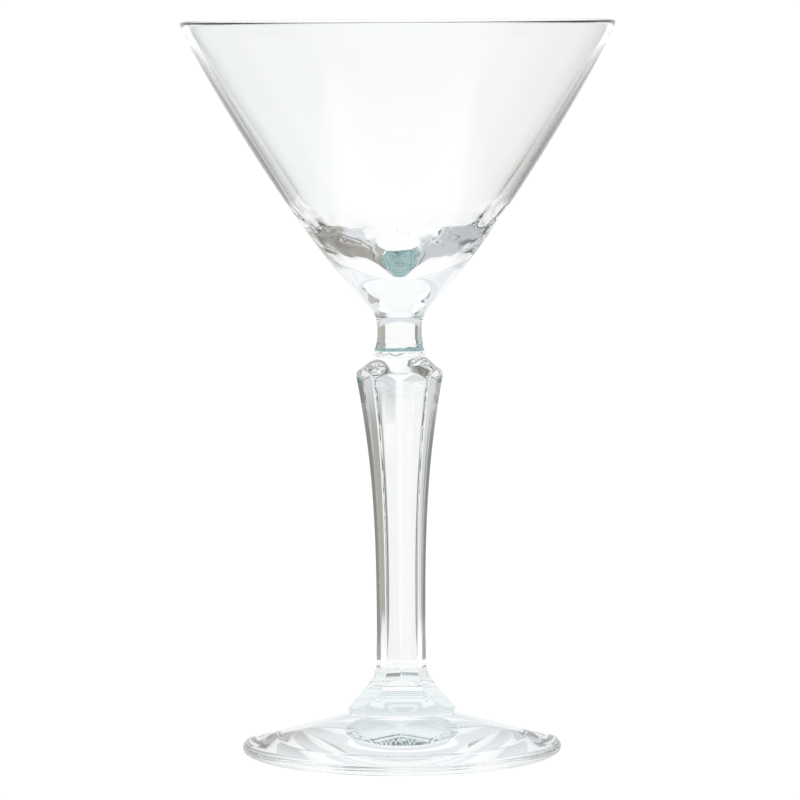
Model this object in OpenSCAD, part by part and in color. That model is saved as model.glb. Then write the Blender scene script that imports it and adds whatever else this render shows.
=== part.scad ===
// Martini glass: a blown conical bowl on a faceted pressed stem and a domed pressed foot.
// Millimetres, +Z up. The origin is on the table, on the axis of the glass, and one flat
// of the stem faces -Y. The three pieces meet face to face where they are fused.

/* [Overall] */
// Height from the table to the top of the rim
glass_h = 174.4; // [166:0.1:184]
// Height of the fused joint between bowl and stem
bowl_joint_z = 96.3; // [92:0.1:98]
// Height of the fused joint between stem and foot
foot_joint_z = 9.4; // [8.8:0.1:10.4]

/* [Bowl] */
// Diameter across the rim
rim_d = 103; // [96:0.5:110]
// Thickness of the rounded lip
lip_t = 1.2; // [1:0.1:1.4]
// Diameter of the waist under the bowl
waist_d = 10.6; // [10:0.1:11.6]
// Diameter of the fused joint between bowl and stem
bowl_joint_d = 12.3; // [12:0.1:12.8]
// Solid glass between the fused joint and the inside of the bowl
solid_base_h = 20.5; // [19:0.1:22.5]

/* [Stem] */
// Number of flats round the stem
flats = 5; // [5:1:6]
// Diameter of the shoulder across its corners
shoulder_d = 21.6; // [20:0.1:23]
// Diameter of the thinnest part of the stem across its corners
shank_d = 12.16; // [11:0.02:13]
// Distance of a flat from the axis, as a share of the corner radius
flat_share = 0.83; // [0.82:0.005:0.87]
// Diameter of the round pad at the bottom of the stem
pad_d = 25.8; // [24:0.1:28]

/* [Foot] */
// Diameter of the foot
foot_d = 76.1; // [70:0.1:84]
// Thickness of the foot at its rounded edge
foot_edge_t = 2.6; // [2:0.1:3.2]
// Outer diameter of the flat ring that the glass rests on
rest_outer_d = 68; // [62:0.5:69]
// Inner diameter of the flat ring that the glass rests on
rest_inner_d = 57; // [50:0.5:59]
// Height of the hollow under the foot
hollow_h = 1.6; // [0.6:0.1:2.2]

/* [Hidden] */

GLASS = [0.86, 0.92, 0.94, 0.4];
ROUND_FN = 96;

// Radii of the driving diameters
rim_r = rim_d / 2;
waist_r = waist_d / 2;
bowl_joint_r = bowl_joint_d / 2;
shoulder_r = shoulder_d / 2;
shank_r = shank_d / 2;
pad_r = pad_d / 2;
foot_r = foot_d / 2;
foot_joint_r = pad_r - 0.6;

// Bowl: heights over its joint, and the lip's rounding, which starts square to the wall
bowl_h = glass_h - bowl_joint_z;
lip_r = lip_t / 2;
waist_h = 4.3;
neck_top = [waist_r + 4.1, 12.7];
lip_centre = [rim_r - lip_r, bowl_h - lip_r];
lip_turn = 22;
wall_top = [rim_r - 0.8, bowl_h - 2.6];

// Inside of the bowl: the steep wall, the shallower well below it, and the well's round tip.
// Slopes are from the level
inner_top = [rim_r - 1.9, bowl_h - 2.4];
inner_top_slope = 68;
well_edge = [0.388 * rim_r, solid_base_h + 11.1];
well_edge_slope = 51.5;
tip_r = 6;
tip_slope = 25;
tip_edge = [tip_r * sin(tip_slope), solid_base_h + tip_r * (1 - cos(tip_slope))];

// Stem: heights over the table
shoulder_z = bowl_joint_z - 6.5;
shoulder_neck = [8.1, bowl_joint_z - 3.3];
shank_z = 30;
flat_end_z = 21.5;
pad_z = foot_joint_z + 1.1;
pad_bead_r = 0.9;
flat_reach = 16;

// Foot: the rounded edge and where it meets the top and the underside
edge_r = foot_edge_t / 2;
edge_centre = [foot_r - edge_r, edge_r + 0.12];
edge_tilt = 75;

// Points along a cubic curve with ends p[0] and p[3], leaving out the first one
function curve(p, steps) = [
    for (i = [1:steps]) let (t = i / steps, s = 1 - t)
        s * s * s * p[0] + 3 * s * s * t * p[1] + 3 * s * t * t * p[2] + t * t * t * p[3]
];

// Points along an arc from angle a to angle b
function arc(centre, r, a, b, steps) = [
    for (i = [0:steps]) let (angle = a + (b - a) * i / steps)
        centre + r * [cos(angle), sin(angle)]
];

// Step of a given length along a slope
function step(length, slope) = length * [cos(slope), sin(slope)];

// Half outline of the bowl, from the joint up the outside, over the lip and down the inside
function bowl_outline() = concat(
    [[0, 0], [bowl_joint_r, 0]],
    curve([
        [bowl_joint_r, 0],
        [bowl_joint_r - 0.5, 1.2],
        [waist_r, 2.6],
        [waist_r, waist_h]
    ], 5),
    curve([
        [waist_r, waist_h],
        [waist_r, waist_h + 4.4],
        [waist_r + 1.3, neck_top[1] - 2.9],
        neck_top
    ], 10),
    curve([
        neck_top,
        [0.398 * rim_r, 0.303 * bowl_h],
        [0.837 * rim_r, 0.762 * bowl_h],
        wall_top
    ], 24),
    arc(lip_centre, lip_r, -lip_turn, 180 - lip_turn, 12),
    curve([
        inner_top,
        inner_top - step(0.079 * bowl_h, inner_top_slope),
        well_edge + step(0.328 * bowl_h, well_edge_slope),
        well_edge
    ], 20),
    curve([
        well_edge,
        well_edge - step(3, well_edge_slope),
        tip_edge + step(4.4, tip_slope),
        tip_edge
    ], 12),
    [for (i = [1:6]) let (slope = tip_slope * (1 - i / 6))
        [tip_r * sin(slope), solid_base_h + tip_r * (1 - cos(slope))]]
);

// Half outline of the stem across its corners, from the foot's joint to the bowl's
function stem_outline() = concat(
    [[0, foot_joint_z], [foot_joint_r, foot_joint_z]],
    arc([pad_r - pad_bead_r, pad_z], pad_bead_r, -50, 30, 5),
    curve([
        [pad_r - 0.4, pad_z + 0.7],
        [7.4, 16.4],
        [shank_r, 20.2],
        [shank_r, shank_z]
    ], 14),
    curve([
        [shank_r, shank_z],
        [shank_r, 53],
        [shank_r + 0.116 * (shoulder_r - shank_r), 68.5],
        [shoulder_r, shoulder_z]
    ], 16),
    curve([
        [shoulder_r, shoulder_z],
        [shoulder_r, shoulder_z + 1.4],
        [shoulder_neck[0] + 1.2, shoulder_neck[1] - 1.1],
        shoulder_neck
    ], 7),
    curve([
        shoulder_neck,
        [7.1, shoulder_neck[1] + 1.2],
        [bowl_joint_r + 0.2, bowl_joint_z - 0.9],
        [bowl_joint_r, bowl_joint_z]
    ], 6),
    [[0, bowl_joint_z]]
);

// Everything on the axis side of one flat, seen from the side: the flat tapers with the
// stem, sweeps out over the pad, and clears the round shoulder above
module behind_flat() {
    shank_flat = flat_share * shank_r;
    shoulder_flat = flat_share * shoulder_r;
    flat_side = concat(
        [[pad_r + 3, foot_joint_z - 1], [pad_r + 0.1, pad_z + 0.5]],
        curve([
            [pad_r + 0.1, pad_z + 0.5],
            [8, 13.6],
            [shank_flat, 17.2],
            [shank_flat, flat_end_z]
        ], 10),
        curve([
            [shank_flat, flat_end_z],
            [shank_flat, 53],
            [shank_flat + 0.116 * (shoulder_flat - shank_flat), 68.5],
            [shoulder_flat, shoulder_z]
        ], 14),
        [[shoulder_flat + 1.5, shoulder_z + 7.5]]
    );
    rotate([90, 0, -90])
        linear_extrude(height = 2 * flat_reach, center = true)
            polygon(concat(flat_side, [
                [-flat_reach, shoulder_z + 7.5],
                [-flat_reach, foot_joint_z - 1]
            ]));
}

// Half outline of the foot, from the hollow underneath, round the edge and up to the joint
function foot_outline() = concat(
    [[0, hollow_h]],
    curve([
        [0, hollow_h],
        [0.35 * rest_inner_d / 2, hollow_h],
        [0.7 * rest_inner_d / 2, 0.62 * hollow_h],
        [rest_inner_d / 2, 0]
    ], 12),
    [[rest_outer_d / 2, 0]],
    arc(edge_centre, edge_r, -edge_tilt, edge_tilt, 12),
    curve([
        edge_centre + edge_r * [cos(edge_tilt), sin(edge_tilt)],
        [0.775 * foot_r, foot_edge_t + 2.2],
        [0.54 * foot_r, foot_joint_z - 2.4],
        [foot_joint_r, foot_joint_z]
    ], 14),
    [[0, foot_joint_z]]
);

module bowl() {
    color(GLASS)
        translate([0, 0, bowl_joint_z])
            rotate_extrude($fn = ROUND_FN)
                polygon(bowl_outline());
}

module stem() {
    color(GLASS)
        intersection() {
            rotate_extrude($fn = ROUND_FN)
                polygon(stem_outline());
            intersection_for (k = [0:flats - 1])
                rotate(k * 360 / flats)
                    behind_flat();
        }
}

module foot() {
    color(GLASS)
        rotate_extrude($fn = ROUND_FN)
            polygon(foot_outline());
}

bowl();
stem();
foot();
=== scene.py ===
"""Looks of the martini glass: three clear pieces that stand for the CAD nodes, on a pale floor that
glows, as painted light.

Outlines are half sections in millimetres, as (radius, height) points. The glass is one body
of clear material: where two pieces are fused, both end in a face that light passes straight
through, so the pieces look like one glass and still come apart as the CAD nodes do.
"""

import math

import bpy
from mathutils import Matrix, Vector, noise

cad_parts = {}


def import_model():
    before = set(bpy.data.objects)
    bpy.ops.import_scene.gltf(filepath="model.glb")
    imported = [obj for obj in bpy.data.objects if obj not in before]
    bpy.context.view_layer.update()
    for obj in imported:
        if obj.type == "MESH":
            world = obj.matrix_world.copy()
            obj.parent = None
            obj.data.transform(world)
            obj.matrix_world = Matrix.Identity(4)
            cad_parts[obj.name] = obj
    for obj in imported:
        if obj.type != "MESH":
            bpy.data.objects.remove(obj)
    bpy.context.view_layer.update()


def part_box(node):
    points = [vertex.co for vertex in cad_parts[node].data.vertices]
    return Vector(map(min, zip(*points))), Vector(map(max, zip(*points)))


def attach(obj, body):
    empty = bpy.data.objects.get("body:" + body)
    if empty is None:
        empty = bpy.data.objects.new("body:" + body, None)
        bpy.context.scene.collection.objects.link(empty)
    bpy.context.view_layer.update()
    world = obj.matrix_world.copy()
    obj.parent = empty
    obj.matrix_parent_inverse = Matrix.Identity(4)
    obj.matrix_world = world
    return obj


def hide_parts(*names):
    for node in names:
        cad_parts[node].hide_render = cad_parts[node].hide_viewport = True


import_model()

MM = 0.001


# ------------------------------------------------------------ sizes, from the frame

def box_mm(node):
    """Lowest and highest corner of a CAD node, in millimetres."""
    low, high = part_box(node)
    return [c / MM for c in low], [c / MM for c in high]


BOWL_LOW, BOWL_HIGH = box_mm("bowl")
STEM_LOW, STEM_HIGH = box_mm("stem")
FOOT_LOW, FOOT_HIGH = box_mm("foot")

RIM_R = (BOWL_HIGH[0] - BOWL_LOW[0]) / 2
PAD_R = (STEM_HIGH[0] - STEM_LOW[0]) / 2
FOOT_R = (FOOT_HIGH[0] - FOOT_LOW[0]) / 2
BOWL_JOINT_Z = BOWL_LOW[2]
FOOT_JOINT_Z = STEM_LOW[2]
BOWL_H = BOWL_HIGH[2] - BOWL_JOINT_Z

# the rest repeats part.scad's dimensions
BOWL_JOINT_R = 6.15
WAIST_R = 5.3
WAIST_H = 4.3
NECK_TOP = (WAIST_R + 4.1, 12.7)
LIP_R = 0.6
LIP_TURN = 22
SOLID_BASE_H = 20.5
WELL_EDGE = (0.388 * RIM_R, SOLID_BASE_H + 11.1)
WELL_EDGE_SLOPE = 51.5
TIP_R = 6.0
TIP_SLOPE = 25.0
FLATS = 5
FLAT_SHARE = 0.83
SHOULDER_R = 10.8
SHOULDER_Z = BOWL_JOINT_Z - 6.5
SHANK_R = 6.08
FOOT_JOINT_R = PAD_R - 0.6
FOOT_EDGE_R = 1.3
REST_OUTER_R = 34.0
REST_INNER_R = 28.5
HOLLOW_H = 1.6

# fineness of the meshes: points round a turned piece, and across each flat of the stem
TURNED_COUNT = 256
POINTS_PER_FLAT = 48
STEM_STEP = 0.5
# how sharp the stem's edges are, and how far its points crowd towards them, from 0 to 1
EDGE_SHARPNESS = 110
EDGE_CROWDING = 0.75

# slight unevenness of hot glass: lengths of the waves, and their sizes
WELD_Z = BOWL_JOINT_Z + 0.4
WELD_HALF_H = 0.8
WELD_DEPTH = 0.22
WELD_WAVE = 0.3
WELL_RIPPLE_H = 16.0
WELL_WAVE = 0.42
WELD_WAVE_LENGTH = 2.6
WELL_COARSE_LENGTH = 5.0
WELL_FINE_LENGTH = 2.4
WELL_FINE_SHARE = 0.35

# long paths through real glass look teal, so the fused faces take some of that colour
GLASS_COLOUR = (0.985, 0.995, 0.992, 1)
GLASS_IOR = 1.52
WELD_TINT = (0.50, 0.64, 0.64, 1)
PRESS_TINT = (0.95, 0.97, 0.97, 1)

# camera, in metres and degrees, with its focal length as a multiple of the picture's width
CAMERA_PLACE = (0, -1.136, 0.1836)
CAMERA_TURN = -1.8
CAMERA_DOWN = 4.99
CAMERA_ROLL = -0.35
FOCAL_WIDTHS = 4796 / 800
SENSOR_MM = 36


# ------------------------------------------------------------ outlines

def curve(p0, p1, p2, p3, steps):
    """Points along a cubic curve from p0 to p3, leaving out p0."""
    points = []
    for i in range(1, steps + 1):
        t = i / steps
        s = 1 - t
        weights = (s ** 3, 3 * s * s * t, 3 * s * t * t, t ** 3)
        points.append(tuple(sum(w * p[k] for w, p in zip(weights, (p0, p1, p2, p3))) for k in (0, 1)))
    return points


def arc(centre, radius, start, end, steps):
    """Points along an arc from angle start to angle end, in degrees."""
    return [step(centre, radius, start + (end - start) * i / steps) for i in range(steps + 1)]


def step(point, length, slope):
    """The point a given length away, along a slope in degrees."""
    angle = math.radians(slope)
    return (point[0] + length * math.cos(angle), point[1] + length * math.sin(angle))


def bowl_outside():
    """From the joint up the outside and over the lip, with heights over the joint."""
    wall_top = (RIM_R - 0.8, BOWL_H - 2.6)
    return (
        curve((BOWL_JOINT_R, 0), (BOWL_JOINT_R - 0.5, 1.2), (WAIST_R, 2.6), (WAIST_R, WAIST_H), 16)
        + curve((WAIST_R, WAIST_H), (WAIST_R, WAIST_H + 4.4), (WAIST_R + 1.3, NECK_TOP[1] - 2.9),
                NECK_TOP, 24)
        + curve(NECK_TOP, (0.398 * RIM_R, 0.303 * BOWL_H), (0.837 * RIM_R, 0.762 * BOWL_H), wall_top, 70)
        + arc((RIM_R - LIP_R, BOWL_H - LIP_R), LIP_R, -LIP_TURN, 180 - LIP_TURN, 20)
    )


def bowl_inside():
    """From the lip down the inside wall, the shallow well and its round tip."""
    top = (RIM_R - 1.9, BOWL_H - 2.4)
    tip_centre = (0, SOLID_BASE_H + TIP_R)
    tip_edge = step(tip_centre, TIP_R, TIP_SLOPE - 90)
    return (
        curve(top, step(top, 0.079 * BOWL_H, 68 + 180), step(WELL_EDGE, 0.328 * BOWL_H, WELL_EDGE_SLOPE),
              WELL_EDGE, 60)
        + curve(WELL_EDGE, step(WELL_EDGE, 3, WELL_EDGE_SLOPE + 180), step(tip_edge, 4.4, TIP_SLOPE),
                tip_edge, 50)
        + arc(tip_centre, TIP_R, TIP_SLOPE - 90, -90, 16)[1:-1]
    )


def stem_corner():
    """The stem's outline across its corners, from the foot's joint to the bowl's."""
    pad_z = FOOT_JOINT_Z + 1.1
    neck = (8.1, BOWL_JOINT_Z - 3.3)
    return (
        arc((PAD_R - 0.9, pad_z), 0.9, -50, 30, 10)
        + curve((PAD_R - 0.4, pad_z + 0.7), (7.4, 16.4), (SHANK_R, 20.2), (SHANK_R, 30), 50)
        + curve((SHANK_R, 30), (SHANK_R, 53), (SHANK_R + 0.116 * (SHOULDER_R - SHANK_R), 68.5),
                (SHOULDER_R, SHOULDER_Z), 60)
        + curve((SHOULDER_R, SHOULDER_Z), (SHOULDER_R, SHOULDER_Z + 1.4), (neck[0] + 1.2, neck[1] - 1.1),
                neck, 20)
        + curve(neck, (7.1, neck[1] + 1.2), (BOWL_JOINT_R + 0.2, BOWL_JOINT_Z - 0.9),
                (BOWL_JOINT_R, BOWL_JOINT_Z), 20)
    )


def stem_flat():
    """The side profile of one flat."""
    pad_z = FOOT_JOINT_Z + 1.1
    shank = FLAT_SHARE * SHANK_R
    shoulder = FLAT_SHARE * SHOULDER_R
    return (
        [(PAD_R + 3, FOOT_JOINT_Z - 1), (PAD_R + 0.1, pad_z + 0.5)]
        + curve((PAD_R + 0.1, pad_z + 0.5), (8, 13.6), (shank, 17.2), (shank, 21.5), 50)
        + curve((shank, 21.5), (shank, 53), (shank + 0.116 * (shoulder - shank), 68.5),
                (shoulder, SHOULDER_Z), 60)
        + [(shoulder + 1.5, SHOULDER_Z + 7.5)]
    )


def foot_outline():
    """From the hollow underneath, round the edge and up to the joint."""
    centre = (FOOT_R - FOOT_EDGE_R, FOOT_EDGE_R + 0.12)
    edge = arc(centre, FOOT_EDGE_R, -75, 75, 24)
    return (
        curve((0.001, HOLLOW_H), (0.35 * REST_INNER_R, HOLLOW_H), (0.7 * REST_INNER_R, 0.62 * HOLLOW_H),
              (REST_INNER_R, 0), 40)
        + [(REST_INNER_R + 0.3, 0), (REST_OUTER_R - 0.3, 0), (REST_OUTER_R, 0)]
        + edge
        + curve(edge[-1], (0.775 * FOOT_R, 2 * FOOT_EDGE_R + 2.2), (0.54 * FOOT_R, FOOT_JOINT_Z - 2.4),
                (FOOT_JOINT_R, FOOT_JOINT_Z), 50)
    )


def radius_at(outline, height):
    """Radius at a height of an outline whose heights rise."""
    if height <= outline[0][1]:
        return outline[0][0]
    for (r0, z0), (r1, z1) in zip(outline, outline[1:]):
        if height <= z1:
            return r0 + (r1 - r0) * (height - z0) / max(z1 - z0, 1e-9)
    return outline[-1][0]


# ------------------------------------------------------------ meshes

def ring_mesh(name, rings, start_hub, end_hub, fused_ends):
    """A closed mesh through rings of points, with a cap at each end. fused_ends gives the material
    slot of each cap that is fused to the next piece."""
    count = len(rings[0])
    verts = [point for ring in rings for point in ring]
    faces = []
    slots = []
    for k in range(len(rings) - 1):
        for i in range(count):
            j = (i + 1) % count
            faces.append((k * count + i, k * count + j, (k + 1) * count + j, (k + 1) * count + i))
            slots.append(0)
    last = (len(rings) - 1) * count
    for end, hub_point, base in (("start", start_hub, 0), ("end", end_hub, last)):
        hub = len(verts)
        verts.append(hub_point)
        for i in range(count):
            j = (i + 1) % count
            faces.append((base + j, base + i, hub) if end == "start" else (base + i, base + j, hub))
            slots.append(fused_ends.get(end, 0))
    mesh = bpy.data.meshes.new(name)
    mesh.from_pydata([tuple(c * MM for c in v) for v in verts], [], faces)
    mesh.polygons.foreach_set("material_index", slots)
    mesh.polygons.foreach_set("use_smooth", [slot == 0 for slot in slots])
    mesh.update()
    piece = bpy.data.objects.new(name, mesh)
    bpy.context.scene.collection.objects.link(piece)
    return piece


def turned(outline, base_z, uneven=None):
    """Rings of an outline turned round the axis. uneven(angle, radius, height) adds to the radius."""
    turns = [2 * math.pi * i / TURNED_COUNT for i in range(TURNED_COUNT)]
    rings = []
    for radius, z in outline:
        height = base_z + z
        ring = []
        for angle in turns:
            r = radius + (uneven(angle, radius, height) if uneven else 0)
            ring.append((r * math.cos(angle), r * math.sin(angle), height))
        rings.append(ring)
    return rings


def ripple(angle, radius, height, length):
    """Smooth unevenness between about -0.6 and 0.6, with waves of about the given length."""
    place = Vector((radius * math.cos(angle), radius * math.sin(angle), height)) / length
    return noise.noise(place)


def weld_ripple(angle, height):
    """The shallow, wavy groove where the bowl was fused to the stem."""
    near = math.exp(-((height - WELD_Z) / WELD_HALF_H) ** 2)
    return near * (WELD_WAVE * ripple(angle, BOWL_JOINT_R, height, WELD_WAVE_LENGTH) - WELD_DEPTH)


def well_ripple(angle, radius, height):
    """Unevenness of the inside of the bowl's thick base, which no mould touches."""
    share = (height - BOWL_JOINT_Z - SOLID_BASE_H) / WELL_RIPPLE_H
    if share < 0.02 or share > 1:
        return 0
    coarse = ripple(angle, radius, height, WELL_COARSE_LENGTH)
    fine = ripple(angle, radius, height, WELL_FINE_LENGTH)
    return math.sin(math.pi * share) * (WELL_WAVE * coarse + WELL_FINE_SHARE * WELL_WAVE * fine)


def stem_rings():
    """Rings of the stem: at each height, the round corner outline cut by the flats, with the
    edges between them slightly rounded."""
    corner = stem_corner()
    flat = stem_flat()
    heights = [p[1] for p in corner]
    dense = []
    for z0, z1 in zip(heights, heights[1:]):
        n = max(1, math.ceil((z1 - z0) / STEM_STEP))
        dense += [z0 + (z1 - z0) * i / n for i in range(n)]
    dense.append(heights[-1])
    angles = []
    for k in range(FLATS):
        for i in range(POINTS_PER_FLAT):
            u = (i + 0.5) / POINTS_PER_FLAT * 2 - 1
            u = math.sin(u * math.pi / 2) * EDGE_CROWDING + u * (1 - EDGE_CROWDING)
            angles.append(2 * math.pi * k / FLATS + u * math.pi / FLATS)
    rings = []
    for z in dense:
        round_r = radius_at(corner, z)
        flat_r = radius_at(flat, z)
        ring = []
        for angle in angles:
            total = (1 / round_r) ** EDGE_SHARPNESS
            for k in range(FLATS):
                c = math.cos(angle - 2 * math.pi * k / FLATS)
                if c > 0:
                    total += (c / flat_r) ** EDGE_SHARPNESS
            r = total ** (-1 / EDGE_SHARPNESS) + weld_ripple(angle - math.pi / 2, z)
            ring.append((r * math.sin(angle), -r * math.cos(angle), z))
        rings.append(ring)
    return rings


# ------------------------------------------------------------ materials

def glass_material():
    mat = bpy.data.materials.new("clear_glass")
    mat.use_nodes = True
    shader = mat.node_tree.nodes["Principled BSDF"]
    shader.inputs["Base Color"].default_value = GLASS_COLOUR
    shader.inputs["Roughness"].default_value = 0.0
    shader.inputs["IOR"].default_value = GLASS_IOR
    shader.inputs["Transmission Weight"].default_value = 1.0
    return mat


def fused_material(name, tint):
    mat = bpy.data.materials.new(name)
    mat.use_nodes = True
    tree = mat.node_tree
    tree.nodes.clear()
    out = tree.nodes.new("ShaderNodeOutputMaterial")
    clear = tree.nodes.new("ShaderNodeBsdfTransparent")
    clear.inputs["Color"].default_value = tint
    tree.links.new(clear.outputs[0], out.inputs["Surface"])
    return mat


# ------------------------------------------------------------ pieces

def finish_piece(piece, node, materials):
    for mat in materials:
        piece.data.materials.append(mat)
    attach(piece, "root")
    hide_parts(node)


def build_glass():
    glass = glass_material()
    weld = fused_material("fused_weld", WELD_TINT)
    press = fused_material("fused_press", PRESS_TINT)
    outside = [(BOWL_JOINT_R, 0)] + bowl_outside()
    rings = turned(outside, BOWL_JOINT_Z, lambda angle, radius, height: weld_ripple(angle, height))
    rings += turned(bowl_inside(), BOWL_JOINT_Z, well_ripple)
    bowl = ring_mesh("glass_bowl", rings, (0, 0, BOWL_JOINT_Z), (0, 0, BOWL_JOINT_Z + SOLID_BASE_H),
                     {"start": 1})
    finish_piece(bowl, "bowl", (glass, weld))
    stem = ring_mesh("glass_stem", stem_rings(), (0, 0, FOOT_JOINT_Z), (0, 0, BOWL_JOINT_Z),
                     {"start": 2, "end": 1})
    finish_piece(stem, "stem", (glass, weld, press))
    foot = ring_mesh("glass_foot", turned(foot_outline(), 0), (0, 0, HOLLOW_H),
                     (0, 0, FOOT_JOINT_Z), {"end": 1})
    finish_piece(foot, "foot", (glass, press))


# ------------------------------------------------------------ camera and stage

def camera():
    """Seen from slightly above, and turned a little so that the stem's left flat shows more."""
    data = bpy.data.cameras.new("camera")
    data.sensor_width = SENSOR_MM
    data.lens = FOCAL_WIDTHS * SENSOR_MM
    data.clip_end = 2 * TABLE_HALF
    cam = bpy.data.objects.new("camera", data)
    bpy.context.scene.collection.objects.link(cam)
    turn = Matrix.Rotation(math.radians(CAMERA_TURN), 3, "Z")
    tilt = Matrix.Rotation(math.radians(90 - CAMERA_DOWN), 3, "X")
    roll = Matrix.Rotation(math.radians(CAMERA_ROLL), 3, "Z")
    cam.location = turn @ Vector(CAMERA_PLACE)
    cam.rotation_mode = "QUATERNION"
    cam.rotation_quaternion = (turn @ tilt @ roll).to_quaternion()
    bpy.context.scene.camera = cam


# ------------------------------------------------------------ surroundings
#
# The glass stands on a glowing sheet in a studio. Its glow is painted light, lit by no lamp and taking
# no shadow: white in a lane behind the glass, with the compass colours around it. A white backdrop of a
# set width stands behind it, and the room beside and in front is greyer, so the glass's edges draw
# themselves. COMPASS gives the colours by heading, in degrees from +Y, positive towards +X. Whatever the
# view, the glass and the camera see the same surroundings.

# the floor also glows in WHITE and the COMPASS colours, and there they are painted light
WHITE = (1.03, 1.03, 1.03)
OVERHEAD = (0.97, 0.98, 1.0)
BACKDROP = (0.76, 0.80, 0.83)
COMPASS = (
    (-180, (0.45, 0.46, 0.46)),
    (-145, (0.28, 0.30, 0.30)),
    (-116, (0.09, 0.115, 0.12)),
    (-108, (0.09, 0.115, 0.12)),
    (-100, (0.24, 0.28, 0.30)),
    (-88, (0.52, 0.55, 0.57)),
    (-45, (0.58, 0.61, 0.62)),
    (-36, (0.30, 0.32, 0.32)),
    (-32.4, (0.16, 0.18, 0.18)),
    (-31.6, WHITE),
    (31.4, WHITE),
    (32.2, (0.44, 0.43, 0.385)),
    (60, (0.48, 0.47, 0.44)),
    (85, (0.33, 0.315, 0.28)),
    (104, (0.24, 0.22, 0.185)),
    (112, (0.10, 0.095, 0.08)),
    (128, (0.40, 0.39, 0.365)),
    (180, (0.45, 0.46, 0.46)),
)
LANE_TURN = 0.0314
LANE_HALF_WIDTH = 0.099
LANE_SPREAD = 0.0855
LANE_EDGE = 0.03
LANE_FRONT = 0.076
TABLE_HALF = 30.0
TABLE_Z = -0.0004


def math_node(tree, operation, *values):
    """A Math node, whose inputs are numbers or other nodes' outputs."""
    node = tree.nodes.new("ShaderNodeMath")
    node.operation = operation
    for socket, value in zip(node.inputs, values):
        if isinstance(value, (int, float)):
            socket.default_value = value
        else:
            tree.links.new(value, socket)
    return node.outputs[0]


def smooth_rise(tree, value, low, high):
    """0 below low, 1 above high, and smooth between."""
    node = tree.nodes.new("ShaderNodeMapRange")
    node.interpolation_type = "SMOOTHSTEP"
    tree.links.new(value, node.inputs["Value"])
    node.inputs["From Min"].default_value = low
    node.inputs["From Max"].default_value = high
    return node.outputs["Result"]


def compass_colour(tree, x, y):
    """Colour by heading. A ramp holds at most 1, so the colours go in halved and come out doubled."""
    heading = math_node(tree, "ARCTAN2", x, y)
    share = math_node(tree, "MULTIPLY_ADD", heading, 0.5 / math.pi, 0.5)
    ramp = tree.nodes.new("ShaderNodeValToRGB")
    ramp.color_ramp.interpolation = "EASE"
    for stop in range(len(COMPASS) - 2):
        ramp.color_ramp.elements.new(0.5)
    for element, (degrees, colour) in zip(ramp.color_ramp.elements, COMPASS):
        element.position = degrees / 360 + 0.5
        element.color = tuple(c / 2 for c in colour) + (1,)
    tree.links.new(share, ramp.inputs["Fac"])
    return scaled(tree, ramp.outputs["Color"], 2)


def scaled(tree, colour, factor):
    node = tree.nodes.new("ShaderNodeVectorMath")
    node.operation = "SCALE"
    tree.links.new(colour, node.inputs[0])
    node.inputs["Scale"].default_value = factor
    return node.outputs["Vector"]


def blend(tree, factor, first, second):
    """first where factor is 0, second where it is 1. Either is a colour or an output."""
    node = tree.nodes.new("ShaderNodeMix")
    node.data_type = "VECTOR"
    tree.links.new(factor, node.inputs["Factor"])
    for socket, value in zip(node.inputs[4:6], (first, second)):
        if isinstance(value, tuple):
            socket.default_value = value
        else:
            tree.links.new(value, socket)
    return node.outputs[1]


def either(tree, a, b):
    """1 where a or b is 1, and smooth between."""
    return math_node(tree, "SUBTRACT", math_node(tree, "ADD", a, b), math_node(tree, "MULTIPLY", a, b))


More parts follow.
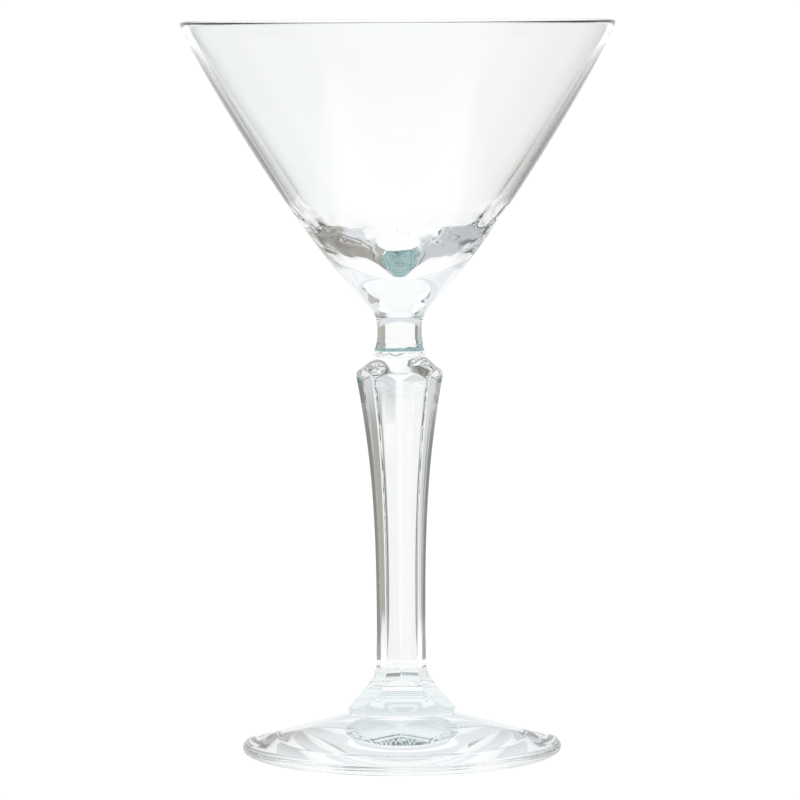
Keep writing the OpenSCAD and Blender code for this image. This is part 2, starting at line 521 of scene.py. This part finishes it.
def table_material():
    """A glowing sheet, whose glow is painted light: a white lane that widens behind the glass, and the
    compass around it.
    """
    mat = bpy.data.materials.new("table")
    mat.use_nodes = True
    tree = mat.node_tree
    tree.nodes.clear()
    place = tree.nodes.new("ShaderNodeTexCoord")
    split = tree.nodes.new("ShaderNodeSeparateXYZ")
    tree.links.new(place.outputs["Object"], split.inputs[0])
    x, y = split.outputs["X"], split.outputs["Y"]
    middle = math_node(tree, "MULTIPLY_ADD", y, -LANE_TURN, x)
    lane = math_node(tree, "MULTIPLY_ADD", y, LANE_SPREAD, LANE_HALF_WIDTH)
    beside = math_node(tree, "SUBTRACT", math_node(tree, "ABSOLUTE", middle), lane)
    before = math_node(tree, "MULTIPLY", y, -1.0)
    off_lane = either(tree, smooth_rise(tree, beside, 0, LANE_EDGE),
                      smooth_rise(tree, before, LANE_FRONT, LANE_FRONT + LANE_EDGE))
    # the sheet's colour is its glow: painted light, not a lamp
    glow = tree.nodes.new("ShaderNodeEmission")
    out = tree.nodes.new("ShaderNodeOutputMaterial")
    tree.links.new(blend(tree, off_lane, WHITE, compass_colour(tree, x, y)), glow.inputs["Color"])
    tree.links.new(glow.outputs[0], out.inputs["Surface"])
    return mat


def table():
    corners = [(x * TABLE_HALF, y * TABLE_HALF, TABLE_Z) for x, y in ((-1, -1), (1, -1), (1, 1), (-1, 1))]
    mesh = bpy.data.meshes.new("table")
    mesh.from_pydata(corners, [], [(0, 1, 2, 3)])
    mesh.materials.append(table_material())
    piece = bpy.data.objects.new("table", mesh)
    bpy.context.scene.collection.objects.link(piece)


def world():
    """Studio walls by heading, with a broad soft light overhead."""
    surroundings = bpy.data.worlds.new("studio")
    bpy.context.scene.world = surroundings
    surroundings.use_nodes = True
    tree = surroundings.node_tree
    background = tree.nodes["Background"]
    direction = tree.nodes.new("ShaderNodeTexCoord")
    split = tree.nodes.new("ShaderNodeSeparateXYZ")
    tree.links.new(direction.outputs["Generated"], split.inputs[0])
    walls = compass_colour(tree, split.outputs["X"], split.outputs["Y"])
    behind = smooth_rise(tree, split.outputs["Y"], 0.3, 0.7)
    aside = math_node(tree, "ABSOLUTE", split.outputs["X"])
    above = smooth_rise(tree, math_node(tree, "MULTIPLY_ADD", aside, 0.2, split.outputs["Z"]), 0.18, 0.26)
    walls = blend(tree, math_node(tree, "MULTIPLY", behind, above), walls, BACKDROP)
    up = smooth_rise(tree, split.outputs["Z"], 0.45, 0.7)
    tree.links.new(blend(tree, up, walls, OVERHEAD), background.inputs["Color"])


def render_limits():
    scene = bpy.context.scene
    scene.view_settings.view_transform = "Standard"
    scene.cycles.max_bounces = 24
    scene.cycles.transmission_bounces = 24
    scene.cycles.glossy_bounces = 16
    scene.cycles.transparent_max_bounces = 24


camera()
build_glass()
table()
world()
render_limits()
